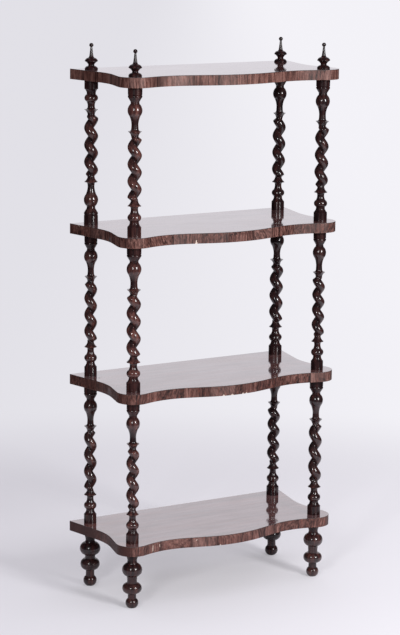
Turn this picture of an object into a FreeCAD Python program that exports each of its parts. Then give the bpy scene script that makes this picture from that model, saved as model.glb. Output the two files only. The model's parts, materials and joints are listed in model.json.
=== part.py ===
import FreeCAD, Part
import math
import os
import Sketcher

# A four-tier etagere: four serpentine veneered shelves carried on turned feet and
# twelve barley-twist columns, with a turned finial over each post.
# Frame: millimetres, +Z up, the front looks along -Y, and the origin lies on the
# floor under the middle of the shelves.

Vector = FreeCAD.Vector
document = FreeCAD.newDocument("etagere")
sizes = document.addObject("Spreadsheet::Sheet", "sizes")


# ---------------------------------------------------------------- driving dimensions

DIMENSIONS = {
    # the stack of one post, from the floor up
    "foot_height": 128,
    "column_length": 324,
    "board_thickness": 22,
    "veneer_thickness": 1,
    # where the four posts stand
    "front_post_x": 243,
    "front_post_forward": 84.5,
    "rear_post_x": 249,
    "rear_post_back": 104,
    # the serpentine outline of a shelf, right half
    "shelf_depth": 271,
    "waist_half_width": 262.5,
    "waist_back": 9,
    "waist_radius": 157,
    "side_line_angle": 78.1,
    "corner_x": 241.5,
    "corner_forward": 82,
    "corner_radius": 37.8,
    "front_hollow_x": 164,
    "front_hollow_forward": 105.5,
    "front_hollow_radius": 172.5,
    "bow_radius": 255,
    "polished_edge_radius": 0.5,
    # the screwed joints between the pieces of a post
    "spigot_radius": 7,
    "spigot_reach": 22.5,
    "spigot_chamfer": 1,
    "socket_radius": 7.2,
    "socket_depth": 24,
    "shelf_hole_radius": 7.5,
    # the barley twist, cut between the two turned ends of a column
    "twist_bottom": 76,
    "twist_top": 218,
    "twist_crest_radius": 15.2,
    "twist_valley_radius": 5,
    "twist_end_radius": 7.5,
    "twist_run_out": 9,
    "twist_sharpness": 1.15,
}

# Outlines for the lathe, as the chisel meets them going up. Each row is a name, a height,
# a radius and the radius of the curve that leads there: above zero is a bead, below zero
# a cove, zero is straight, and "ball" is round about the axis. A height or radius in words
# is worked out from the sheet.

SPIGOT_TOP = "foot_height + board_thickness + veneer_thickness + spigot_reach"
SPIGOT_BOTTOM = "-(board_thickness + veneer_thickness + spigot_reach)"

FOOT = [
    ("floor", 0, 0, 0),
    ("pad", 0, 8.2, 0),
    ("toe_ball", 21.5, 9.6, 13.1),
    ("ankle", 33.6, 9.6, -70),
    ("lower_ball", 57.6, 11.4, 12.05),
    ("middle_neck", 73.6, 12.2, -45),
    ("upper_ball", 103.4, 12.2, 15.9),
    ("upper_neck", 109.5, 10.5, -22),
    ("flange", 122, 14.7, -26),
    ("flange_rim", "foot_height", 14.7, 0),
    ("spigot_root", "foot_height", "spigot_radius", 0),
    ("spigot_shoulder", SPIGOT_TOP + " - spigot_chamfer", "spigot_radius", 0),
    ("spigot_tip", SPIGOT_TOP, "spigot_radius - spigot_chamfer", 0),
    ("spigot_end", SPIGOT_TOP, 0, 0),
]

# The rear feet came off the lathe with fuller balls, the lower one set higher.
REAR_FOOT_BALLS = {
    "toe_ball": (23, 10.2, 13.8),
    "ankle": (37.5, 10.2, -70),
    "lower_ball": (65.5, 11.6, 14.3),
    "upper_ball": (103.9, 12.2, 15.7),
}
REAR_FOOT = [(station, *REAR_FOOT_BALLS.get(station, turned)) for station, *turned in FOOT]

FINIAL = [
    ("spigot_end", SPIGOT_BOTTOM, 0, 0),
    ("spigot_tip", SPIGOT_BOTTOM, "spigot_radius - spigot_chamfer", 0),
    ("spigot_shoulder", SPIGOT_BOTTOM + " + spigot_chamfer", "spigot_radius", 0),
    ("spigot_root", 0, "spigot_radius", 0),
    ("seat", 0, 14.2, 0),
    ("seat_rim", 2, 14.6, 1.6),
    ("dome", 7.4, 7.6, 9),
    ("neck", 11.4, 7.2, -3.2),
    ("saucer", 17.6, 14.2, -16),
    ("saucer_rim", 19.6, 14.2, 1.4),
    ("saucer_top", 25, 8.6, 9),
    ("spire_foot", 29, 4.6, -5.5),
    ("spire_neck", 49.2, 2.2, -260),
    ("button", 58, 0, "ball"),
]

COLUMN_BOTTOM = [
    ("socket_floor", "socket_depth", 0, 0),
    ("socket_edge", "socket_depth", "socket_radius", 0),
    ("socket_mouth", 0, "socket_radius", 0),
    ("seat", 0, 14.8, 0),
    ("drum", 20, 14.8, 0),
    ("shoulder", 28.4, 9.8, -15),
    ("quirk", 32.2, 9.8, 0),
    ("ball", 48.2, 10.3, 9.1),
    ("neck", 57.5, 7.7, -17.4),
    ("neck_top", 60, 7.7, 0),
    ("collar", 65.7, 14.6, -6),
    ("collar_edge", 66.4, 14.6, 0),
    ("twist_neck", 74.5, 8.2, -18),
    ("twist_seat", "twist_bottom", 8.2, 0),
    ("twist_centre", "twist_bottom", 0, 0),
]

COLUMN_TOP = [
    ("twist_centre", "twist_top", 0, 0),
    ("twist_seat", "twist_top", 8.2, 0),
    ("twist_neck", 219.5, 8.2, 0),
    ("collar", 227.6, 14.4, -18),
    ("collar_edge", 228.3, 14.4, 0),
    ("neck", 234.5, 7.7, -6),
    ("neck_top", 242, 7.3, 0),
    ("vase_foot", 261, 11.4, -46),
    ("vase", 287.8, 9.4, 19.6),
    ("quirk", 291.8, 9.2, 0),
    ("shoulder", 301.5, 14.8, 0),
    ("ring", 305.6, 14.9, 4.5),
    ("groove", 306.6, 14.2, 0),
    ("cap", 307.6, 15.2, 0),
    ("seat", "column_length", 15.4, 0),
    ("socket_mouth", "column_length", "socket_radius", 0),
    ("socket_edge", "column_length - socket_depth", "socket_radius", 0),
    ("socket_floor", "column_length - socket_depth", 0, 0),
]

# Every column was turned and gouged by hand, so no two are quite alike: the pitch of the
# twist in millimetres, where it starts in degrees about the post, and the girth of the
# column as a share of the radii above.

COLUMNS = {
    "lower_front_left": (36.7, 122, 0.96),
    "lower_front_right": (40.8, 124, 1.02),
    "lower_rear_left": (39.8, 202, 0.97),
    "lower_rear_right": (35.4, 72, 0.99),
    "middle_front_left": (38.5, 1, 1.05),
    "middle_front_right": (35.0, 89, 0.95),
    "middle_rear_left": (37.9, 42, 0.96),
    "middle_rear_right": (39.2, 31, 1.05),
    "upper_front_left": (37.1, 217, 1.03),
    "upper_front_right": (38.5, 130, 1.03),
    "upper_rear_left": (38.0, 141, 1.03),
    "upper_rear_right": (39.1, 340, 1.0),
}

# One column has been put back with its vase end down. Its sockets are alike, so it fits.
# It was turned with a longer drum at that end, which sets its vase nearer the twist.
INVERTED_COLUMN = "upper_rear_left"
EXTRA_DRUM = 4.6
NEARER_TWIST = ("neck_top", "vase_foot", "vase", "quirk", "shoulder", "ring", "groove", "cap")
INVERTED_TOP = [(station, height - EXTRA_DRUM if station in NEARER_TWIST else height, radius, curve)
                for station, height, radius, curve in COLUMN_TOP]

POSTS = {
    "front_left": ("-sizes.front_post_x", "-sizes.front_post_forward"),
    "front_right": ("sizes.front_post_x", "-sizes.front_post_forward"),
    "rear_left": ("-sizes.rear_post_x", "sizes.rear_post_back"),
    "rear_right": ("sizes.rear_post_x", "sizes.rear_post_back"),
}
SHELVES = ("bottom", "second", "third", "top")
COLUMN_TIERS = ("lower", "middle", "upper")

sheet_cells = dict(DIMENSIONS)
for turning, outline in (("foot", FOOT), ("rear_foot", REAR_FOOT), ("finial", FINIAL),
                         ("lower_end", COLUMN_BOTTOM), ("upper_end", COLUMN_TOP),
                         ("inverted_end", INVERTED_TOP)):
    for station, height, radius, curve in outline:
        for word, number in (("height", height), ("radius", radius), ("curve", curve)):
            if number != 0 and not isinstance(number, str):
                sheet_cells[f"{turning}_{station}_{word}"] = abs(number)
for column_name, (pitch, start, girth) in COLUMNS.items():
    sheet_cells[f"{column_name}_pitch"] = pitch
    sheet_cells[f"{column_name}_start"] = start
    sheet_cells[f"{column_name}_girth"] = girth
for row, (alias, number) in enumerate(sheet_cells.items(), 1):
    sizes.set(f"A{row}", str(number))
    sizes.setAlias(f"A{row}", alias)
document.recompute()


def in_sheet(words):
    """The expression with each name in it taken from the sheet."""
    return " ".join(f"sizes.{word}" if word[0].isalpha() else word
                    for word in words.replace("(", "( ").replace(")", " )").split())


def number_of(expression):
    """What an expression comes to now."""
    return float(sizes.evalExpression(expression.replace("sizes.", "")))


# ---------------------------------------------------------------- sketches

def origin_plane(body, role):
    """One of the three planes of a body's own origin."""
    return next(item for item in body.Origin.OriginFeatures if item.Role == role)


def new_sketch(body, name, role):
    """An empty sketch on a plane of the body's origin."""
    sketch = body.newObject("Sketcher::SketchObject", name)
    sketch.AttachmentSupport = (origin_plane(body, role), [""])
    sketch.MapMode = "FlatFace"
    return sketch


def bind(sketch, kind, *where, expression):
    """A dimension of the sketch that follows the sheet."""
    index = sketch.addConstraint(Sketcher.Constraint(kind, *where, number_of(expression)))
    sketch.setExpression(f"Constraints[{index}]", expression)


def arc_between(start, end, radius):
    """The shorter arc from start to end, anticlockwise."""
    chord = end - start
    middle = (start + end) * 0.5
    reach = math.sqrt(max(radius ** 2 - (chord.Length / 2) ** 2, 0))
    inward = Vector(-chord.y, chord.x, 0).normalize()
    centre = middle + inward * reach
    circle = Part.Circle(centre, Vector(0, 0, 1), radius)
    first = math.atan2(start.y - centre.y, start.x - centre.x)
    last = math.atan2(end.y - centre.y, end.x - centre.x)
    if last < first:
        last += 2 * math.pi
    return Part.ArcOfCircle(circle, first, last)


def ball_radius(start, end):
    """The radius of the ball about the axis that passes through two points of an outline."""
    centre = (end.x ** 2 + end.y ** 2 - start.x ** 2 - start.y ** 2) / (2 * (end.y - start.y))
    return math.hypot(start.x, start.y - centre)


def turned_body(name, turning, outline, girth="1"):
    """A piece off the lathe: its outline, closed along the axis and turned round it."""
    body = document.addObject("PartDesign::Body", name)
    sketch = new_sketch(body, name + "_outline", "XZ_Plane")
    points = []
    for station, height, radius, curve in outline:
        words = []
        for word, number, share in (("height", height, "1"), ("radius", radius, girth)):
            if isinstance(number, str):
                words.append(in_sheet(number))
            else:
                words.append(f"sizes.{turning}_{station}_{word} * {share}" if number else "0")
        up, across = (number_of(expression) for expression in words)
        points.append((Vector(across, up, 0), *words, f"sizes.{turning}_{station}_curve", curve))

    # a cove is drawn from its upper end, because an arc runs anticlockwise
    start_and_end = []
    for index, (start, *_) in enumerate(points):
        end, _, _, curve_word, curve = points[(index + 1) % len(points)]
        start_and_end.append((1, 2))
        if curve == "ball":
            sketch.addGeometry(arc_between(start, end, ball_radius(start, end)))
        elif curve > 0:
            sketch.addGeometry(arc_between(start, end, number_of(curve_word)))
        elif curve < 0:
            sketch.addGeometry(arc_between(end, start, number_of(curve_word)))
            start_and_end[index] = (2, 1)
        else:
            sketch.addGeometry(Part.LineSegment(start, end))

    for index, (_, height_word, radius_word, curve_word, curve) in enumerate(points):
        before = (index - 1) % len(points)
        here = start_and_end[index][0]
        sketch.addConstraint(Sketcher.Constraint("Coincident", before, start_and_end[before][1], index, here))
        if radius_word == "0":
            sketch.addConstraint(Sketcher.Constraint("PointOnObject", index, here, -2))
        else:
            bind(sketch, "DistanceX", -1, 1, index, here, expression=radius_word)
        if height_word == "0":
            sketch.addConstraint(Sketcher.Constraint("PointOnObject", index, here, -1))
        else:
            bind(sketch, "DistanceY", -1, 1, index, here, expression=height_word)
        if curve == "ball":
            sketch.addConstraint(Sketcher.Constraint("PointOnObject", before, 3, -2))
        elif curve:
            bind(sketch, "Radius", before, expression=curve_word)

    turned = body.newObject("PartDesign::Revolution", name + "_turned")
    turned.Profile = sketch
    turned.ReferenceAxis = (sketch, ["V_Axis"])
    turned.Angle = 360
    return body


# ---------------------------------------------------------------- shelves

def tangent_between(convex, convex_radius, hollow, hollow_radius, outward):
    """Where a straight line leaves a convex arc and meets a hollow one that curves the other way."""
    reach = hollow - convex
    lean = math.acos((convex_radius + hollow_radius) / reach.Length)
    bearing = math.atan2(reach.y, reach.x)
    normals = [Vector(math.cos(bearing + turn), math.sin(bearing + turn), 0) for turn in (lean, -lean)]
    normal = max(normals, key=lambda item: item.dot(outward))
    return convex + normal * convex_radius, hollow - normal * hollow_radius


def half_outline(sketch, inset, holes):
    """The right half of the serpentine outline, drawn in from the edge by the inset."""
    waist_radius = f"sizes.waist_radius + {inset}"
    corner_radius = f"sizes.corner_radius - {inset}"
    hollow_radius = f"sizes.front_hollow_radius + {inset}"
    bow_radius = f"sizes.bow_radius - {inset}"
    rear = f"sizes.shelf_depth / 2 - {inset}"
    waist_x = "sizes.waist_half_width + sizes.waist_radius"
    hollow_forward = "sizes.front_hollow_forward + sizes.front_hollow_radius"
    bow_back = "sizes.bow_radius - sizes.shelf_depth / 2"

    waist = Vector(number_of(waist_x), sizes.waist_back, 0)
    corner = Vector(sizes.corner_x, -sizes.corner_forward, 0)
    hollow = Vector(sizes.front_hollow_x, -number_of(hollow_forward), 0)
    bow = Vector(0, number_of(bow_back), 0)
    lean = math.radians(sizes.side_line_angle)

    rear_middle = Vector(0, number_of(rear), 0)
    waist_rear = waist + Vector(-math.sin(lean), math.cos(lean), 0) * number_of(waist_radius)
    rise = rear_middle.y - waist_rear.y
    rear_corner = waist_rear + Vector(rise / math.tan(lean), rise, 0)
    corner_side, waist_front = tangent_between(
        corner, number_of(corner_radius), waist, number_of(waist_radius), Vector(1, 0, 0))
    corner_front, hollow_side = tangent_between(
        corner, number_of(corner_radius), hollow, number_of(hollow_radius), Vector(0, -1, 0))
    bow_side, hollow_middle = tangent_between(
        bow, number_of(bow_radius), hollow, number_of(hollow_radius), Vector(0, -1, 0))
    bow_middle = bow - Vector(0, number_of(bow_radius), 0)

    pieces = [
        Part.LineSegment(rear_middle, rear_corner),
        Part.LineSegment(waist_rear, rear_corner),
        arc_between(waist_rear, waist_front, number_of(waist_radius)),
        Part.LineSegment(waist_front, corner_side),
        arc_between(corner_front, corner_side, number_of(corner_radius)),
        Part.LineSegment(corner_front, hollow_side),
        arc_between(hollow_side, hollow_middle, number_of(hollow_radius)),
        Part.LineSegment(hollow_middle, bow_side),
        arc_between(bow_middle, bow_side, number_of(bow_radius)),
        Part.LineSegment(bow_middle, rear_middle),
    ]
    rear_line, side_line, waist_arc, side_flat, corner_arc = range(5)
    front_flat, hollow_arc, bow_flat, bow_arc, centre_line = range(5, 10)
    sketch.addGeometry(pieces)

    for first, first_end, second, second_end in (
            (side_line, 1, waist_arc, 1), (waist_arc, 2, side_flat, 1), (side_flat, 2, corner_arc, 2),
            (corner_arc, 1, front_flat, 1), (front_flat, 2, hollow_arc, 1), (hollow_arc, 2, bow_flat, 1),
            (bow_flat, 2, bow_arc, 2)):
        sketch.addConstraint(Sketcher.Constraint("Tangent", first, first_end, second, second_end))
    for first, first_end, second, second_end in (
            (rear_line, 2, side_line, 2), (bow_arc, 1, centre_line, 1), (centre_line, 2, rear_line, 1)):
        sketch.addConstraint(Sketcher.Constraint("Coincident", first, first_end, second, second_end))
    sketch.addConstraint(Sketcher.Constraint("Horizontal", rear_line))
    sketch.addConstraint(Sketcher.Constraint("PointOnObject", rear_line, 1, -2))
    sketch.addConstraint(Sketcher.Constraint("PointOnObject", bow_arc, 1, -2))
    sketch.addConstraint(Sketcher.Constraint("PointOnObject", bow_arc, 3, -2))
    bind(sketch, "DistanceY", -1, 1, rear_line, 1, expression=rear)
    side_angle = sketch.addConstraint(Sketcher.Constraint("Angle", side_line, lean))
    sketch.setExpression(f"Constraints[{side_angle}]", "sizes.side_line_angle * 1 deg")
    bind(sketch, "DistanceX", -1, 1, waist_arc, 3, expression=waist_x)
    bind(sketch, "DistanceY", -1, 1, waist_arc, 3, expression="sizes.waist_back")
    bind(sketch, "Radius", waist_arc, expression=waist_radius)
    bind(sketch, "DistanceX", -1, 1, corner_arc, 3, expression="sizes.corner_x")
    bind(sketch, "DistanceY", corner_arc, 3, -1, 1, expression="sizes.corner_forward")
    bind(sketch, "Radius", corner_arc, expression=corner_radius)
    bind(sketch, "DistanceX", -1, 1, hollow_arc, 3, expression="sizes.front_hollow_x")
    bind(sketch, "DistanceY", hollow_arc, 3, -1, 1, expression=hollow_forward)
    bind(sketch, "Radius", hollow_arc, expression=hollow_radius)
    bind(sketch, "DistanceY", -1, 1, bow_arc, 3, expression=bow_back)
    bind(sketch, "Radius", bow_arc, expression=bow_radius)

    if holes:
        hole_radius = number_of("sizes.shelf_hole_radius")
        front = Vector(sizes.front_post_x, -sizes.front_post_forward, 0)
        back = Vector(sizes.rear_post_x, sizes.rear_post_back, 0)
        front_hole = sketch.addGeometry(Part.Circle(front, Vector(0, 0, 1), hole_radius))
        back_hole = sketch.addGeometry(Part.Circle(back, Vector(0, 0, 1), hole_radius))
        bind(sketch, "DistanceX", -1, 1, front_hole, 3, expression="sizes.front_post_x")
        bind(sketch, "DistanceY", front_hole, 3, -1, 1, expression="sizes.front_post_forward")
        bind(sketch, "DistanceX", -1, 1, back_hole, 3, expression="sizes.rear_post_x")
        bind(sketch, "DistanceY", -1, 1, back_hole, 3, expression="sizes.rear_post_back")
        bind(sketch, "Radius", front_hole, expression="sizes.shelf_hole_radius")
        bind(sketch, "Radius", back_hole, expression="sizes.shelf_hole_radius")


def mirror_half(body, name, features):
    """The left half of a shelf piece, made from the right."""
    mirrored = body.newObject("PartDesign::Mirrored", name + "_left_half")
    mirrored.Originals = features
    mirrored.MirrorPlane = (origin_plane(body, "YZ_Plane"), [""])
    mirrored.Refine = True
    body.Tip = mirrored
    document.recompute()
    return mirrored


def soften_edge(body, name, base, height):
    """Rounds the outer edge of the flat face at one height, as rubbing down and polishing leave it."""
    flat = next(face for face in base.Shape.Faces
                if abs(face.BoundBox.ZMin - height) < 1e-4 and abs(face.BoundBox.ZMax - height) < 1e-4)
    rim = flat.OuterWire.Edges
    fillet = body.newObject("PartDesign::Fillet", name + "_polished_edge")
    fillet.Base = (base, [f"Edge{index}" for index, edge in enumerate(base.Shape.Edges, 1)
                          if any(edge.isSame(other) for other in rim)])
    fillet.setExpression("Radius", "sizes.polished_edge_radius")
    body.Tip = fillet


def shelf_board(name):
    """The solid board of a shelf, with a hole for each post."""
    body = document.addObject("PartDesign::Body", name)
    outline = new_sketch(body, name + "_outline", "XY_Plane")
    half_outline(outline, "sizes.veneer_thickness", holes=True)
    half = body.newObject("PartDesign::Pad", name + "_half")
    half.Profile = outline
    half.setExpression("Length", "sizes.board_thickness")
    mirror_half(body, name, [half])
    return body


def face_veneer(name):
    """The sheet of veneer on top of a shelf. It runs out over the edge veneer."""
    body = document.addObject("PartDesign::Body", name)
    outline = new_sketch(body, name + "_outline", "XY_Plane")
    half_outline(outline, "0", holes=True)
    half = body.newObject("PartDesign::Pad", name + "_half")
    half.Profile = outline
    half.setExpression("Length", "sizes.veneer_thickness")
    whole = mirror_half(body, name, [half])
    soften_edge(body, name, whole, sizes.veneer_thickness)
    return body


def edge_veneer(name):
    """The band of cross-grained veneer round the edge of a board."""
    body = document.addObject("PartDesign::Body", name)
    outer = new_sketch(body, name + "_outer", "XY_Plane")
    half_outline(outer, "0", holes=False)
    half = body.newObject("PartDesign::Pad", name + "_half")
    half.Profile = outer
    half.setExpression("Length", "sizes.board_thickness")
    inner = new_sketch(body, name + "_inner", "XY_Plane")
    half_outline(inner, "sizes.veneer_thickness", holes=False)
    hollow = body.newObject("PartDesign::Pocket", name + "_hollow")
    hollow.Profile = inner
    hollow.Type = "ThroughAll"
    hollow.Reversed = True
    document.recompute()
    whole = mirror_half(body, name, [half, hollow])
    soften_edge(body, name, whole, 0)
    return body


# ---------------------------------------------------------------- columns

def run_out(distance):
    """How deep the gouge has come at this distance from the end of the twist, from 0 to 1."""
    share = min(max(distance / sizes.twist_run_out, 0), 1)
    return share * share * (3 - 2 * share)


def twist_radius(phase, rise):
    """The radius of the twist at a phase from its crest, at this rise above its lower end."""
    length = sizes.twist_top - sizes.twist_bottom
    swell = abs(math.cos(phase / 2)) ** sizes.twist_sharpness
    cut = sizes.twist_valley_radius + (sizes.twist_crest_radius - sizes.twist_valley_radius) * swell
    depth = run_out(min(rise, length - rise))
    return sizes.twist_end_radius + (cut - sizes.twist_end_radius) * depth


def twist_shape(pitch, start, girth):
    """One left-handed strand between two flat round ends. Its valley is a sharp line."""
    stations_per_turn = 14
    sides = 24
    length = sizes.twist_top - sizes.twist_bottom
    stations = round(length / pitch * stations_per_turn)
    grid = []
    for station in range(stations + 1):
        rise = length * station / stations
        crest = math.radians(start) - 2 * math.pi * rise / pitch
        ring = []
        for side in range(sides + 1):
            phase = 2 * math.pi * (side % sides) / sides - math.pi
            radius = girth * twist_radius(phase, rise)
            bearing = crest + phase
            ring.append(Vector(radius * math.cos(bearing), radius * math.sin(bearing),
                               sizes.twist_bottom + rise))
        grid.append(ring)
    surface = Part.BSplineSurface()
    surface.interpolate(grid)
    strand = surface.toShape()
    ends = [Part.Face(Part.Wire([edge])) for edge in strand.Edges if edge.BoundBox.ZLength < 1e-4]
    shell = Part.Shell([strand] + ends)
    shell.sewShape()
    solid = Part.Solid(shell)
    if solid.Volume < 0:
        solid.reverse()
    return solid


def column(name, top_turning, top_outline):
    """One column: its two turned ends and the twist between them are one piece of wood."""
    girth = f"sizes.{name}_girth"
    bottom = turned_body(name + "_bottom_end", "lower_end", COLUMN_BOTTOM, girth)
    top = turned_body(name + "_top_end", top_turning, top_outline, girth)
    twist = document.addObject("Part::Feature", name + "_twist")
    twist.Shape = twist_shape(*(getattr(sizes, f"{name}_{size}") for size in ("pitch", "start", "girth")))
    whole = document.addObject("Part::MultiFuse", "column_" + name)
    whole.Shapes = [bottom, twist, top]
    return whole


def dowel(name):
    """A loose dowel that passes through a shelf and screws into the columns above and below."""
    body = document.addObject("PartDesign::Body", name)
    sketch = new_sketch(body, name + "_section", "XY_Plane")
    sketch.addGeometry(Part.Circle(Vector(0, 0, 0), Vector(0, 0, 1), sizes.spigot_radius))
    sketch.addConstraint(Sketcher.Constraint("Coincident", 0, 3, -1, 1))
    bind(sketch, "Radius", 0, expression="sizes.spigot_radius")
    rod = body.newObject("PartDesign::Pad", name + "_rod")
    rod.Profile = sketch
    rod.setExpression("Length", "sizes.board_thickness + sizes.veneer_thickness + 2 * sizes.spigot_reach")
    document.recompute()
    chamfer = body.newObject("PartDesign::Chamfer", name + "_chamfer")
    chamfer.Base = (rod, [f"Edge{index}" for index, edge in enumerate(rod.Shape.Edges, 1)
                          if isinstance(edge.Curve, Part.Circle)])
    chamfer.setExpression("Size", "sizes.spigot_chamfer")
    body.Tip = chamfer
    return body


# ---------------------------------------------------------------- assembly

kept = []


def stand(piece, label, across="0", along="0", up="0", upside_down=False):
    """Names a finished piece and puts it in its place."""
    piece.Label = label
    if upside_down:
        piece.Placement = FreeCAD.Placement(Vector(0, 0, 0), FreeCAD.Rotation(Vector(1, 0, 0), 180))
    for axis, expression in (("x", across), ("y", along), ("z", up)):
        piece.setExpression(f"Placement.Base.{axis}", expression)
    kept.append(piece)


shelf_thickness = "(sizes.board_thickness + sizes.veneer_thickness)"
tier_height = f"({shelf_thickness} + sizes.column_length)"

for level, shelf in enumerate(SHELVES):
    underside = f"sizes.foot_height + {level} * {tier_height}"
    stand(shelf_board(f"board_{level}"), f"shelf_{shelf}_board", up=underside)
    stand(edge_veneer(f"band_{level}"), f"shelf_{shelf}_edge_veneer", up=underside)
    stand(face_veneer(f"face_{level}"), f"shelf_{shelf}_face_veneer",
          up=f"{underside} + sizes.board_thickness")

for post, (across, along) in POSTS.items():
    turning, outline = ("rear_foot", REAR_FOOT) if "rear" in post else ("foot", FOOT)
    stand(turned_body(f"foot_{post}_body", turning, outline), f"foot_{post}", across, along)
    stand(turned_body(f"finial_{post}_body", "finial", FINIAL), f"finial_{post}", across, along,
          f"sizes.foot_height + {len(COLUMN_TIERS)} * {tier_height} + {shelf_thickness}")

for level, tier in enumerate(COLUMN_TIERS):
    seat = f"sizes.foot_height + {level} * {tier_height} + {shelf_thickness}"
    for post, (across, along) in POSTS.items():
        name = f"{tier}_{post}"
        if name == INVERTED_COLUMN:
            stand(column(name, "inverted_end", INVERTED_TOP), f"column_{name}", across, along,
                  f"{seat} + sizes.column_length", upside_down=True)
        else:
            stand(column(name, "upper_end", COLUMN_TOP), f"column_{name}", across, along, seat)

for level, shelf in enumerate(SHELVES[1:-1], 1):
    for post, (across, along) in POSTS.items():
        stand(dowel(f"dowel_{shelf}_{post}_body"), f"dowel_{shelf}_{post}", across, along,
              f"sizes.foot_height + {level} * {tier_height} - sizes.spigot_reach")

document.recompute()

# ---------------------------------------------------------------- checks and output

for item in document.Objects:
    if "Invalid" in item.State or "Error" in item.State:
        raise RuntimeError(f"{item.Name} failed: {item.State}")
for piece in kept:
    if piece.Shape.isNull() or not piece.Shape.isValid() or len(piece.Shape.Solids) != 1:
        raise RuntimeError(f"{piece.Label} isn't one sound solid")

os.makedirs("parts", exist_ok=True)
for piece in kept:
    piece.Shape.exportStep(f"parts/{piece.Label}.step")

box = Part.makeCompound([piece.Shape for piece in kept]).optimalBoundingBox()
print(f"{len(kept)} pieces, {box.XLength:.1f} x {box.YLength:.1f} x {box.ZLength:.1f} mm")
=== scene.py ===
import json
import math

import bpy
from mathutils import Euler, Matrix, Vector

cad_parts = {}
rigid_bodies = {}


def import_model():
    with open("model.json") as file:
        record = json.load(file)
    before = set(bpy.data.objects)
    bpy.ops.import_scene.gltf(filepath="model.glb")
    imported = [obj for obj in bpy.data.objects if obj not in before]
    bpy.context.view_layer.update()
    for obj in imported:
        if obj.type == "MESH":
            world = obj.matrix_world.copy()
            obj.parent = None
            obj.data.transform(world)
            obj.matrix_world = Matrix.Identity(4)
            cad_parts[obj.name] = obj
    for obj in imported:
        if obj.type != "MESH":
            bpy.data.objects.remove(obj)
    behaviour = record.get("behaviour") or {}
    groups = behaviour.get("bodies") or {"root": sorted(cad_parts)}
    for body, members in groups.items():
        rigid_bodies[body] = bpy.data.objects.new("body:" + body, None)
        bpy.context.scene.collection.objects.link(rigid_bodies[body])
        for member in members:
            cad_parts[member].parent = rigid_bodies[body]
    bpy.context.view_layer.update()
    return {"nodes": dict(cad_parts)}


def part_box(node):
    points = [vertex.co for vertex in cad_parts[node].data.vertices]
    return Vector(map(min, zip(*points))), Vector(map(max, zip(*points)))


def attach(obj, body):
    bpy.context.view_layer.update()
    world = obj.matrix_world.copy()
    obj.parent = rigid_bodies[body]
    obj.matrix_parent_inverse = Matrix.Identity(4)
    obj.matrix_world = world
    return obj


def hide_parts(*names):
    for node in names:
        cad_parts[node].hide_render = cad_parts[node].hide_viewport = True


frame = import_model()


# ---------------------------------------------------------------- camera
# A long lens stands five metres off, to the left of the stand and a little above its
# finials, and looks down on it.

camera_place = Vector((-2.6226, -4.3367, 1.6310))
camera_turn = math.radians(30.940)
camera_dip = math.radians(11.209)
camera_roll = math.radians(0.690)

bpy.ops.object.select_all(action="DESELECT")
bpy.ops.object.camera_add(location=camera_place)
camera = bpy.context.object
camera.name = "camera"
level_aim = Euler((math.pi / 2 - camera_dip, 0, -camera_turn)).to_matrix()
camera.rotation_euler = (level_aim @ Matrix.Rotation(camera_roll, 3, "Z")).to_euler()
camera.data.lens = 128.47
camera.data.sensor_width = 36
camera.data.clip_end = 60
bpy.context.scene.camera = camera


# ---------------------------------------------------------------- studio
# A wide roll of pale paper runs under the stand and up behind it. Two tall softboxes light
# it from the front, a narrow one on the left and a wide one on the right, and the ceiling
# gives soft light from above.

# Materials are written as sums. A Wired is what comes out of a node, and adding or
# multiplying one adds a Math node. A Finish is the node tree of one material.

class Wired:
    """An output of a node in a finish."""

    def __init__(self, finish, socket):
        self.finish = finish
        self.socket = socket

    def math(self, operation, *others):
        """A Math node whose first value is this one."""
        return self.finish.node("Math", {"operation": operation}, dict(enumerate((self, *others))))

    def __add__(self, other):
        return self.math("ADD", other)

    def __sub__(self, other):
        return self.math("SUBTRACT", other)

    def __rsub__(self, other):
        """Minus this value, plus the other."""
        return self.math("MULTIPLY_ADD", -1, other)

    def __mul__(self, other):
        return self.math("MULTIPLY", other)

    def __gt__(self, other):
        return self.math("GREATER_THAN", other)

    def __abs__(self):
        return self.math("ABSOLUTE")

    def ramp(self, low, high):
        """From 0 at low to 1 at high, smoothly."""
        return self.finish.node("MapRange", {"interpolation_type": "SMOOTHSTEP"},
                                {"Value": self, "From Min": low, "From Max": high})

    __radd__ = __add__
    __rmul__ = __mul__


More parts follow.
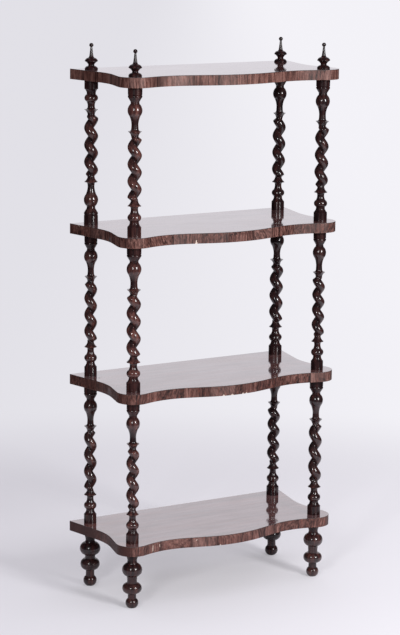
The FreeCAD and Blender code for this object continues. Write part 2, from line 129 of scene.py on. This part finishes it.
class Finish:
    """The node tree of one material or of the world."""

    def __init__(self, owner):
        self.owner = owner
        owner.use_nodes = True
        self.tree = owner.node_tree
        self.tree.nodes.clear()

    def node(self, kind, settings=None, sockets=None, output=0):
        """A node of any kind: its settings, then what each socket holds or is linked to."""
        node = self.tree.nodes.new("ShaderNode" + kind)
        for name, value in (settings or {}).items():
            if name == "stops":
                ramp = node.color_ramp
                while len(ramp.elements) < len(value):
                    ramp.elements.new(1)
                for element, (position, colour) in zip(ramp.elements, value):
                    element.position = position
                    element.color = (*colour, 1)
            else:
                setattr(node, name, value)
        for name, value in (sockets or {}).items():
            if isinstance(value, Wired):
                self.tree.links.new(value.socket, node.inputs[name])
            else:
                node.inputs[name].default_value = value
        return Wired(self, node.outputs[output]) if node.outputs else None

    def parts(self, vector):
        """A vector's three numbers."""
        split = self.node("SeparateXYZ", sockets={0: vector}).socket.node
        return [Wired(self, output) for output in split.outputs]

    def place(self):
        """Where a point lies in the object's frame, as three numbers."""
        return self.parts(self.node("TexCoord", output="Object"))

    def upward(self):
        """How far the surface looks up: 1 on a level top, 0 on a side."""
        return self.parts(self.node("NewGeometry", output="Normal"))[2]

    def point(self, x, y, z):
        return self.node("CombineXYZ", sockets={0: x, 1: y, 2: z})

    def noise(self, point, scale, detail, roughness):
        return self.node("TexNoise", sockets={"Vector": point, "Scale": scale, "Detail": detail,
                                              "Roughness": roughness})

    def chance(self, number):
        """From 0 to 1, another value for each whole number."""
        return self.node("TexWhiteNoise", {"noise_dimensions": "1D"}, {"W": number})

    def colours(self, value, *stops):
        """Runs through the colours of the stops, each a value and its colour."""
        return self.node("ValToRGB", {"stops": stops}, {0: value})

    def blend(self, share, first, second):
        """The first colour where share is 0, the second where it is 1."""
        return self.node("Mix", {"data_type": "RGBA"}, {0: share, 6: first, 7: second}, output=2)

    def bump(self, height, strength, distance):
        return self.node("Bump", sockets={"Strength": strength, "Distance": distance, "Height": height})

    def surface(self, **sockets):
        """A principled surface whose sockets are named with underscores for spaces."""
        shader = self.node("BsdfPrincipled", sockets={name.replace("_", " "): value
                                                      for name, value in sockets.items()})
        self.node("OutputMaterial", sockets={"Surface": shader})
        return self.owner


FLOOR_SIZE = 80
bpy.ops.mesh.primitive_plane_add(size=FLOOR_SIZE, location=(0, 0, 0))
floor = bpy.context.object
floor.name = "floor"

# Near the stand the paper takes its light and its shadow. Further off, and in front of the
# stand, it glows evenly, as a roll lit from all round does.
paper = Finish(bpy.data.materials.new("studio_paper"))
across, along, _ = paper.place()
sideways = across * math.cos(camera_turn) - along * math.sin(camera_turn)
into_picture = across * math.sin(camera_turn) + along * math.cos(camera_turn)
# Painted shade and light: both paper colours are darker on the left and lighter on the right, as the
# studio light falls across the roll.
painted_light_rightward = sideways.ramp(-0.9, 0.9)
lit_paper = paper.blend(painted_light_rightward, (0.73, 0.72, 0.76, 1), (0.86, 0.85, 0.89, 1))
far_paper = paper.blend(painted_light_rightward, (0.76, 0.75, 0.80, 1), (0.90, 0.89, 0.935, 1))
lit = paper.node("BsdfDiffuse", sockets={"Color": lit_paper})
glow = paper.node("Emission", sockets={"Color": far_paper, "Strength": 1.0})
seen = paper.node("LightPath", output="Is Camera Ray")
far_off = (sideways * sideways + into_picture * into_picture).ramp(0.6, 3.2)
in_front = (0 - into_picture).ramp(0.40, 0.85)
evenly_lit = far_off + in_front * (1 - far_off)
softened_shadow = seen * 0.3
glow_share = evenly_lit * (1 - softened_shadow) + softened_shadow
whole_paper = paper.node("MixShader", sockets={0: glow_share, 1: lit, 2: glow})
# The camera sees paper everywhere; the stand mirrors only the roll, and a dark room beside it.
on_roll = (1 - abs(sideways).ramp(0.9, 1.5)) * into_picture.ramp(-2.0, -0.6)
dark_room = paper.node("BsdfDiffuse", sockets={"Color": (0.04, 0.038, 0.042, 1)})
paper_share = seen + (1 - seen) * on_roll
all_round = paper.node("MixShader", sockets={0: paper_share, 1: dark_room, 2: whole_paper})
paper.node("OutputMaterial", sockets={"Surface": all_round})
floor.data.materials.append(paper.owner)

# The light from the ceiling is stronger on the right, and a little comes from behind.
world = bpy.data.worlds.new("surround")
bpy.context.scene.world = world
sky = Finish(world)
towards_x, towards_y, upward = sky.parts(sky.node("TexCoord", output="Generated"))
towards_right = towards_x * math.cos(camera_turn) - towards_y * math.sin(camera_turn)
ahead = towards_x * math.sin(camera_turn) + towards_y * math.cos(camera_turn)
seen = sky.node("LightPath", output="Is Camera Ray")
mirrored = sky.node("LightPath", output="Is Glossy Ray")
ceiling = upward.ramp(0.1, 0.9) * 0.65 + 0.18
soft = ceiling * (towards_right.ramp(-0.8, 0.8) * 0.62 + 0.64) + ahead.ramp(0.0, 0.8) * 0.16
# The polish mirrors the raised roll, which is whitest at its top, and a dark room round it.
DARK_ROOM = 0.04
raised_roll = (ahead * 0.7 - abs(towards_right)).ramp(-0.05, 0.3) * (1 - upward.ramp(0.6, 0.85))
roll_white = upward.ramp(0.06, 0.22) * 0.10 + 0.82
mirrored_level = raised_roll * (roll_white - DARK_ROOM) + DARK_ROOM
# Seen beyond the end of the floor, the roll is as bright as the far floor on that side.
seen_level = towards_right.ramp(-0.03, 0.03) * 0.145 + 0.79
brightness = seen * seen_level + mirrored * mirrored_level + (1 - seen) * (1 - mirrored) * soft
shade = sky.node("Background", sockets={"Color": (0.97, 0.94, 1.0, 1), "Strength": brightness})
sky.node("OutputWorld", sockets={"Surface": shade})

SOFTBOX_DISTANCE = 3.6
SOFTBOX_HEIGHT = 1.85
stand_middle = Vector((0, 0, 0.62))
# For each softbox: its name, how many degrees it stands to the right of the camera, its
# width and its power. It is twice as high as it is wide.
for name, swing, width, power in (("softbox_left", -18, 0.5, 44), ("softbox_right", 44, 0.7, 104)):
    bearing = camera_turn - math.radians(swing)
    place = Vector((-math.sin(bearing) * SOFTBOX_DISTANCE, -math.cos(bearing) * SOFTBOX_DISTANCE,
                    SOFTBOX_HEIGHT))
    bpy.ops.object.light_add(type="AREA", location=place)
    softbox = bpy.context.object
    softbox.name = name
    softbox.rotation_euler = (stand_middle - place).to_track_quat("-Z", "Y").to_euler()
    softbox.data.shape = "RECTANGLE"
    softbox.data.size = width
    softbox.data.size_y = width * 2
    softbox.data.energy = power


# ---------------------------------------------------------------- turned posts
# Feet, columns and finials are dark rosewood, turned and French polished. The twists were
# gouged by hand. Their crests are painted redder than their hollows: partly wear from a century
# of dusting, partly painted shade in the hollows.

SHELVES = ("bottom", "second", "third", "top")
POSTS = ("front_left", "front_right", "rear_left", "rear_right")


def wear(node_name, material):
    """Gives a piece its finish."""
    for slot in frame["nodes"][node_name].material_slots:
        slot.material = material


def post_middle(post):
    """Where a post stands: the middle of its foot."""
    low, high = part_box(f"foot_{post}")
    return (low + high) / 2


front_post = post_middle("front_right")
rear_post = post_middle("rear_right")
shelf_tops = [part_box(f"shelf_{shelf}_face_veneer")[1].z for shelf in SHELVES]
half_shelf = (shelf_tops[0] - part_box("shelf_bottom_board")[0].z) / 2

turned = Finish(bpy.data.materials.new("polished_rosewood"))
x, y, z = turned.place()
is_rear = y > (front_post.y + rear_post.y) / 2
is_right = x > 0
off_side = abs(x) - front_post.x - is_rear * (rear_post.x - front_post.x)
off_front = y - front_post.y - is_rear * (rear_post.y - front_post.y)
radius = (off_side * off_side + off_front * off_front).math("SQRT")

# Each piece was cut from its own block of wood, so its grain lies elsewhere in the noise.
block = is_rear * 3.1 + is_right * 5.3
for shelf_top in shelf_tops:
    block = block + (z > shelf_top) * 1.7
grain_place = turned.point(off_side + block, off_front + block * 0.7, z * 0.09)
pore_place = turned.point(off_side + block, off_front, z * 0.04)
figure = turned.noise(grain_place, scale=150, detail=4, roughness=0.6)
pores = turned.noise(pore_place, scale=1400, detail=2, roughness=0.5)
tool_marks = turned.noise(turned.point(0, 0, z), scale=900, detail=2, roughness=0.6)
haze = turned.noise(turned.point(x, y, z), scale=70, detail=3, roughness=0.6)

# The plain drums against the shelves are painted darker, as painted shade beside the shelves,
# and their polish is thinner. Dull wax fills the corner where a drum stands on its shelf.
beside_shelf = z * 0
waxed_corner = z * 0
for shelf_top in shelf_tops:
    beside_shelf = beside_shelf + (1 - abs(z - (shelf_top - half_shelf)).ramp(0.036, 0.050))
    waxed_corner = waxed_corner + (1 - abs(z - (shelf_top + 0.002)).ramp(0.003, 0.007))

# The front left post is painted reddest and the rear right one darkest, the rear posts darker as
# painted shade. Lower down the posts are darker, the feet darkest as painted shade under the bottom
# shelf, and the finials darker than the columns. The front right foot is painted lighter: a painted
# sheen.
post_share = (1 - is_right * 0.80) * (1 - is_rear * 0.50)
column_share = (z > shelf_tops[0]) * 0.55 + (z > shelf_tops[1]) * 0.25 + 0.15
height_share = column_share * (1 - (z > shelf_tops[3]) * 0.6)
foot = 1 - (z > shelf_tops[0] - half_shelf)
sheen_painted_foot = foot * is_right * (1 - is_rear)
dusty_foot = foot - sheen_painted_foot
# How red the wood is: less beside the shelves as painted shade, more on the front right foot as a
# painted sheen.
painted_light_and_fade = post_share * (1 - beside_shelf * 0.75) * height_share + sheen_painted_foot * 0.30

HOLLOW_RADIUS = 0.0045
CREST_RADIUS = 0.0165
PORE_DIRT = (0.008, 0.004, 0.004, 1)
# Redder towards the crests and darker in the hollows: wear on the crests, painted shade in the hollows.
crest_wear_and_hollow_shade = radius.ramp(HOLLOW_RADIUS, CREST_RADIUS)
dark_wood = turned.colours(figure, (0.36, (0.006, 0.003, 0.004)), (0.52, (0.017, 0.006, 0.007)),
                           (0.70, (0.046, 0.015, 0.013)))
red_wood = turned.colours(figure, (0.34, (0.025, 0.009, 0.009)), (0.50, (0.076, 0.027, 0.024)),
                          (0.70, (0.190, 0.074, 0.058)))
wood = turned.blend(crest_wear_and_hollow_shade * painted_light_and_fade, dark_wood, red_wood)
polish = (crest_wear_and_hollow_shade * 0.35 + 0.47) * (1 - beside_shelf * 0.7)
relief = tool_marks * (beside_shelf * 0.5 + 0.25) + pores * 0.25 + haze * 0.5
rosewood = turned.surface(
    Base_Color=turned.blend(pores.ramp(0.60, 0.72) * 0.6, wood, PORE_DIRT),
    Roughness=haze * 0.15 + 0.26,
    Specular_IOR_Level=0.20,
    Coat_Weight=polish * (1 - waxed_corner) * (1 - dusty_foot * 0.35),
    Coat_IOR=1.56,
    Coat_Roughness=0.05,
    Normal=turned.bump(relief, strength=0.12, distance=0.0004),
)
for post in POSTS:
    for piece in ("foot", "finial", "column_lower", "column_middle", "column_upper"):
        wear(f"{piece}_{post}", rosewood)


# ---------------------------------------------------------------- dowels
# Plain beech dowels, turned and left bare, pass through the two middle shelves. Their ends
# sit in the sockets of the columns above and below, and hold them together.

beech = Finish(bpy.data.materials.new("bare_beech"))
x, y, z = beech.place()
fleck = beech.noise(beech.point(x, y, z * 0.1), scale=900, detail=3, roughness=0.6)
beech_colour = beech.colours(fleck, (0.3, (0.38, 0.24, 0.13)), (0.7, (0.52, 0.36, 0.21)))
bare_beech = beech.surface(Base_Color=beech_colour, Roughness=0.7,
                           Normal=beech.bump(fleck, strength=0.2, distance=0.0003))
for shelf in ("second", "third"):
    for post in POSTS:
        wear(f"dowel_{shelf}_{post}", bare_beech)


# ---------------------------------------------------------------- shelf boards
# Each shelf is a solid mahogany board, stained and waxed underneath. Its bare edge shows
# only where the veneer round it has chipped.

FILLED_PORE = (0.02, 0.008, 0.005, 1)
core = Finish(bpy.data.materials.new("stained_mahogany"))
x, y, z = core.place()
board_grain = core.noise(core.point(x * 0.05, y, z * 6), scale=110, detail=5, roughness=0.65)
board_pores = core.noise(core.point(x * 0.03, y, z), scale=1500, detail=2, roughness=0.5)
stained = core.colours(board_grain, (0.30, (0.040, 0.016, 0.010)), (0.55, (0.085, 0.035, 0.020)),
                       (0.75, (0.130, 0.058, 0.034)))
raw = core.colours(board_grain, (0.3, (0.55, 0.40, 0.33)), (0.7, (0.80, 0.66, 0.58)))
waxed_face = core.blend(board_pores.ramp(0.62, 0.74) * 0.5, stained, FILLED_PORE)
off_edge = abs(core.upward()).ramp(0.4, 0.6)
board_relief = core.bump(board_grain + board_pores * 0.5, strength=0.2, distance=0.0004)
mahogany = core.surface(Base_Color=core.blend(off_edge, raw, waxed_face),
                        Roughness=board_grain * 0.2 + 0.42, Normal=board_relief)
for shelf in SHELVES:
    wear(f"shelf_{shelf}_board", mahogany)


# ---------------------------------------------------------------- shelf tops
# One sheet of rosewood veneer is glued on each shelf, its grain running the length of the
# shelf, filled and French polished to a mirror. A pale mauve haze is painted over it: partly
# bloom of old polish, partly painted reflection of the pale paper.

DARK_VEIN = (0.020, 0.007, 0.008, 1)
DARK_PORE = (0.03, 0.012, 0.01, 1)
BLOOM_AND_PAINTED_REFLECTION = (0.42, 0.38, 0.47, 1)
DARK_ARRIS = (0.030, 0.012, 0.011, 1)
CHARRED = (0.010, 0.005, 0.004, 1)

face = Finish(bpy.data.materials.new("mirror_polished_veneer"))
x, y, z = face.place()
sheet = z * 7.3
drift = face.noise(face.point(x * 0.6, y * 1.5, sheet), scale=5, detail=2, roughness=0.5)
line_place = face.point(x * 0.035, y + drift * 0.03, sheet)
vein_place = face.point(x * 0.018, y + drift * 0.03, sheet + 3)
lines = face.noise(line_place, scale=95, detail=5, roughness=0.62)
veins = face.noise(vein_place, scale=300, detail=3, roughness=0.55).ramp(0.55, 0.66)
face_pores = face.noise(face.point(x * 0.025, y, sheet), scale=1300, detail=2, roughness=0.5)
figured = face.colours(lines, (0.30, (0.045, 0.014, 0.012)), (0.50, (0.120, 0.042, 0.034)),
                       (0.68, (0.195, 0.080, 0.064)))
veined = face.blend(veins * 0.65, figured, DARK_VEIN)
clean_face = face.blend(face_pores.ramp(0.60, 0.72) * 0.5, veined, DARK_PORE)

smears = face.noise(face.point(x, y * 1.7, sheet), scale=9, detail=4, roughness=0.6)
streaks = face.noise(face.point(x * 0.12, y, sheet), scale=60, detail=4, roughness=0.6)
# Partly painted reflection: the pale mauve haze stands in for the paper mirrored in the top, as well as
# bloom of old polish.
bloom_and_reflection = smears.ramp(0.3, 0.75) * 0.07 + streaks.ramp(0.35, 0.65) * 0.07 + 0.01
thin_polish = (1 - streaks.ramp(0.38, 0.62)) * 0.07 + (1 - smears.ramp(0.35, 0.65)) * 0.07
# Where the face rounds over at its arris it is coloured dark brown, rougher and without coat.
level_face = face.upward().ramp(0.90, 0.99)
arris_and_reflection_face = face.blend(level_face, DARK_ARRIS, face.blend(bloom_and_reflection, clean_face, BLOOM_AND_PAINTED_REFLECTION))

# The second shelf has one small burn beside its rear left post: black for 1.7 mm round its
# middle, and gone at 3 mm.
burn_place = Vector((-0.246, 0.0675))
from_burn_x = x - burn_place.x
from_burn_y = y - burn_place.y
from_burn_squared = from_burn_x * from_burn_x + from_burn_y * from_burn_y
on_second_shelf = (z > shelf_tops[0] + half_shelf) * (1 - (z > shelf_tops[1] + half_shelf))
burn = (1 - from_burn_squared.ramp(0.000003, 0.000009)) * on_second_shelf

veneer_face = face.surface(
    Base_Color=face.blend(burn, arris_and_reflection_face, CHARRED),
    Roughness=level_face * (smears * 0.08 - 0.50) + burn * 0.4 + 0.55,
    Specular_IOR_Level=0.9,
    Coat_Weight=level_face * (1 - thin_polish) * (1 - burn),
    Coat_IOR=2.1,
    Coat_Roughness=0.05,
    Normal=face.bump(lines + face_pores * 0.4, strength=0.05, distance=0.0004),
)
for shelf in SHELVES:
    wear(f"shelf_{shelf}_face_veneer", veneer_face)


# ---------------------------------------------------------------- shelf edges
# Short lengths of rosewood veneer, their grain upright, are butted end to end and glued
# round the edge of each board. The polish is worn, and grime darkens the joints. The ends of
# each shelf are painted darker as painted shade, most on the bottom shelf.

LENGTHS_ROUND = 21
GREY_LENGTH = (0.22, 0.165, 0.155, 1)
RED_FLECK = (0.19, 0.046, 0.030, 1)
END_SHADE = (0.034, 0.008, 0.006, 1)
JOINT_WEAR = (0.030, 0.010, 0.009, 1)
JOINT_GLUE = (0.010, 0.004, 0.004, 1)

edge = Finish(bpy.data.materials.new("cross_grained_veneer"))
x, y, z = edge.place()
tier = z * 0
for shelf_top in shelf_tops[:-1]:
    tier = tier + (z > shelf_top)

# The lengths are counted round the shelf, from another start on each, and each has its tone.
round_edge = (y * 1.6).math("ARCTAN2", x) * (LENGTHS_ROUND / (2 * math.pi)) + tier * 0.37
length_number = round_edge.math("FLOOR")
along_length = round_edge.math("FRACT")
tone = edge.chance(length_number + tier * 31)
greyness = edge.chance(length_number + tier * 17 + 0.5)

# The top shelf's lengths are cut straighter than the others, whose grain leans and swirls.
top_shelf = z > shelf_tops[2]
wildness = 1 - top_shelf * 0.75
lean = (tone - 0.4) * 0.8 * wildness
swirl_place = edge.point(x + tier, y, z * 1.1)
swirl = edge.noise(swirl_place, scale=20, detail=2, roughness=0.5) * 0.020 * wildness
stripe_place = edge.point(x + z * lean + swirl + tier, y + z * lean + swirl + tone, z * 0.07)
broad = edge.noise(stripe_place, scale=75, detail=3, roughness=0.55)
stripes = edge.noise(stripe_place, scale=290, detail=5, roughness=0.72)
mottle = edge.noise(edge.point(x + tier, y, z * 0.6), scale=330, detail=4, roughness=0.7)

# The two upper shelves are striped more strongly. The evener keeps the lower two as bright.
FAINT_STRIPES = 0.50
STRONG_STRIPES = 0.62
stripe_share = (z > shelf_tops[1]) * (STRONG_STRIPES - FAINT_STRIPES) + FAINT_STRIPES
evener = (STRONG_STRIPES - stripe_share) * 0.5
pattern = broad * 0.26 + stripes * stripe_share + mottle * 0.12 + evener
# The top shelf's edge, with no shelf over it, is painted lighter as painted light, and the second
# shelf's a little darker.
second_shelf = (z > shelf_tops[0]) * (1 - (z > shelf_tops[1]))
edge_wood = edge.colours(pattern + (tone - 0.5) * 0.04 + top_shelf * 0.026 - second_shelf * 0.013,
                         (0.41, (0.014, 0.005, 0.005)), (0.465, (0.067, 0.027, 0.022)),
                         (0.525, (0.137, 0.060, 0.050)), (0.60, (0.262, 0.133, 0.110)))
# A few lengths are painted greyer: partly a grey tone of their own, partly painted sheen.
greyed = edge.blend((greyness > 0.7) * 0.13, edge_wood, GREY_LENGTH)
fleck_place = edge.point(x + swirl + tier, y + swirl, z * 0.25)
flecks = edge.noise(fleck_place, scale=330, detail=3, roughness=0.6).ramp(0.58, 0.68)
flecked = edge.blend(flecks * 0.45, greyed, RED_FLECK)

# Painted shade: each shelf's ends are darker, the bottom shelf's most.
shelf_end = abs(x).ramp(0.250, 0.272) * (0.92 - (z > shelf_tops[0]) * 0.62)
end_shaded = edge.blend(shelf_end, flecked, END_SHADE)
off_middle = abs(along_length - 0.5)
joint = off_middle.ramp(0.489, 0.497)
near_joint = 1 - (0.5 - off_middle).ramp(0.0, 0.12)
joint_worn = edge.blend(near_joint * (tone > 0.55) * 0.65, end_shaded, JOINT_WEAR)
edge_haze = edge.noise(edge.point(x, y, z), scale=60, detail=3, roughness=0.6)
veneer_edge = edge.surface(
    Base_Color=edge.blend(joint * 0.8, joint_worn, JOINT_GLUE),
    Roughness=edge_haze * 0.2 + 0.34,
    Specular_IOR_Level=0.30,
    Normal=edge.bump(stripes * 0.6 + mottle * 0.4, strength=0.12, distance=0.0004),
)
for shelf in SHELVES:
    wear(f"shelf_{shelf}_edge_veneer", veneer_edge)


# ---------------------------------------------------------------- chipped edges
# Slivers of the edge veneer have split off three shelves along the grain, mostly from the
# lower arris, and show the pale board behind. Each chip is cut through the veneer's 1 mm.

CUT_DEPTH = 0.008
WELD_DISTANCE = 0.000002
BOW_RADIUS = 0.9
# For each shelf: where the chip is, x and y, its height above the veneer's lower edge,
# its width, its height, and its number of sides: 3 for a wedge, more for a rounder flake.
chips = {
    "third": (
        (-0.1039, -0.1159, 0.0030, 0.0076, 0.0165, 3),
        (-0.2795, 0.1059, 0.0212, 0.0080, 0.0030, 5),
    ),
    "second": (
        (-0.0376, -0.1327, 0.0006, 0.0090, 0.0086, 3),
        (-0.0167, -0.1349, 0.0, 0.0086, 0.0064, 5),
        (0.0108, -0.1353, 0.0004, 0.0084, 0.0076, 3),
        (0.0204, -0.1347, 0.0, 0.0074, 0.0064, 5),
    ),
    "bottom": (
        (-0.2041, -0.1102, 0.0110, 0.0034, 0.0214, 6),
        (-0.1844, -0.1068, 0.0135, 0.0030, 0.0095, 6),
        (-0.0949, -0.1185, 0.0165, 0.0046, 0.0036, 5),
        (-0.0410, -0.1322, 0.0006, 0.0064, 0.0064, 3),
    ),
}
for shelf, places in chips.items():
    node_name = f"shelf_{shelf}_edge_veneer"
    lower_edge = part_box(node_name)[0].z
    for number, (across, along, rise, width, height, sides) in enumerate(places):
        # The cutter faces out of the veneer: out of the left end, or out of the bowed front.
        on_left_end = across < -rear_post.x
        turn = -math.pi / 2 if on_left_end else -math.atan2(across, BOW_RADIUS)
        bpy.ops.object.select_all(action="DESELECT")
        bpy.ops.mesh.primitive_cylinder_add(
            vertices=sides, radius=0.5, depth=CUT_DEPTH, location=(across, along, lower_edge + rise),
            rotation=(math.pi / 2, 0, turn), scale=(width, height, 1))
        bpy.ops.object.mode_set(mode="EDIT")
        bpy.ops.mesh.select_all(action="SELECT")
        bpy.ops.mesh.quads_convert_to_tris()
        bpy.ops.mesh.subdivide(number_cuts=1)
        bpy.ops.transform.vertex_random(offset=width * 0.08, uniform=1, seed=number + 3)
        bpy.ops.mesh.quads_convert_to_tris()
        bpy.ops.mesh.normals_make_consistent(inside=False)
        bpy.ops.object.mode_set(mode="OBJECT")
        bpy.context.object.name = f"cutter_{number}"
    for number in range(len(places)):
        bpy.data.objects[f"cutter_{number}"].select_set(True)
    bpy.context.view_layer.objects.active = bpy.data.objects["cutter_0"]
    bpy.ops.object.join()
    cutter = bpy.context.object

    bpy.ops.object.select_all(action="DESELECT")
    whole = frame["nodes"][node_name]
    chipped = whole.copy()
    chipped.data = whole.data.copy()
    chipped.name = f"shelf_{shelf}_chipped_veneer"
    bpy.context.collection.objects.link(chipped)
    chipped.select_set(True)
    bpy.context.view_layer.objects.active = chipped
    bpy.ops.object.mode_set(mode="EDIT")
    bpy.ops.mesh.select_all(action="SELECT")
    bpy.ops.mesh.remove_doubles(threshold=WELD_DISTANCE)
    bpy.ops.object.mode_set(mode="OBJECT")
    cut = chipped.modifiers.new("cut", "BOOLEAN")
    cut.operation = "DIFFERENCE"
    cut.object = cutter
    bpy.ops.object.modifier_apply(modifier="cut")
    bpy.ops.object.shade_smooth_by_angle(angle=math.radians(30))
    bpy.data.objects.remove(cutter)
    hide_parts(node_name)
    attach(chipped, "root")


# ---------------------------------------------------------------- picture
# Plain colours for the picture.

bpy.context.scene.view_settings.view_transform = "Standard"
